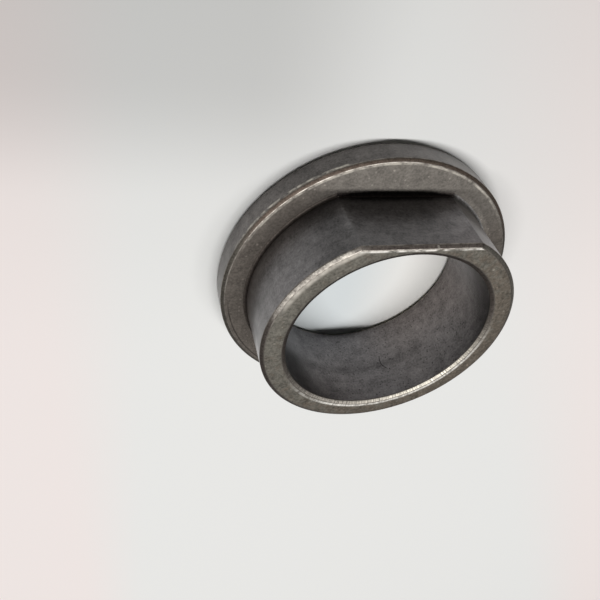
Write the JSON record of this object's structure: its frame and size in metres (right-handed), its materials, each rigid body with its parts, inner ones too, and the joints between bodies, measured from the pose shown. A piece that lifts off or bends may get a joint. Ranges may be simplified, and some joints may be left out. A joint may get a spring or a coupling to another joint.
{
  "type": "flanged bushing",
  "caption": "Flanged plain bushing in sintered steel: a short sleeve on a round flange, with a flat on the sleeve that keeps it from turning in its housing.",
  "frame": {"origin": "on the bore's axis, in the flange's back face", "axes": "+Z along the bore from the flange to the sleeve's end, -Y out of the sleeve's flat"},
  "size_m": [0.0381, 0.038, 0.0127],
  "materials": {
    "sintered_steel": "pressed and sintered, dull grey with a fine mottle and small pores, edges worn bright"
  },
  "bodies": {
    "root": {"flanged_bushing": "sintered_steel"}
  },
  "joints": []
}
